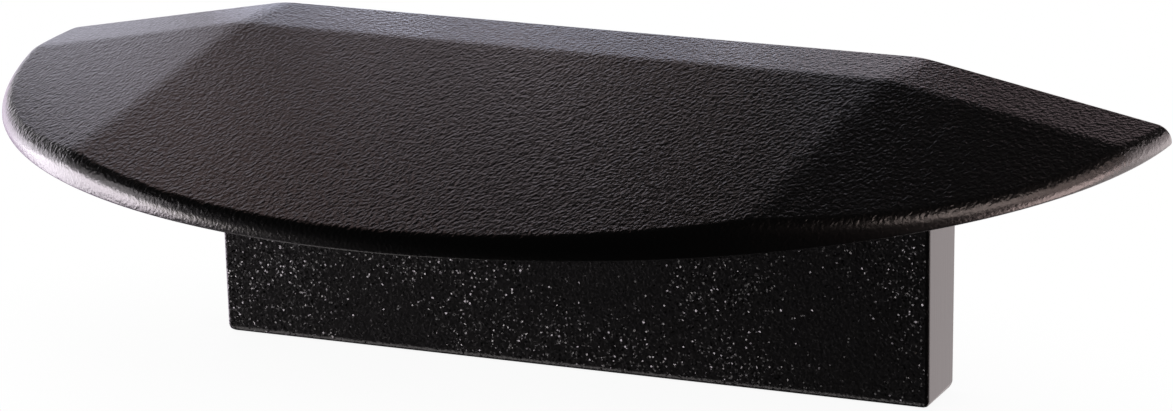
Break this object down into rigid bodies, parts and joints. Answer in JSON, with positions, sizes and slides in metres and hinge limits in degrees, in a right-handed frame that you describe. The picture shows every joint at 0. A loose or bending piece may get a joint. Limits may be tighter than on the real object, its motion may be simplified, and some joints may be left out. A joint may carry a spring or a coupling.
{
  "type": "profile end cap",
  "caption": "Push-in end cap for a half-round profile: thin half-disc face plate with a faceted, roof-like outer side, and a wide flat tongue under it",
  "frame": {"origin": "middle of the plate's straight edge, on the flat inner face that seats on the profile's end", "axes": "+X along the straight edge, +Y from the round side toward the straight edge, +Z out of the profile, so the tongue points along -Z"},
  "size_m": [0.028, 0.014, 0.0079],
  "materials": {
    "body": "black moulded plastic, fine spark-eroded grain on the outer side and rim, smoother sides on the tongue"
  },
  "bodies": {
    "root": {"end_cap": "body"}
  },
  "joints": []
}
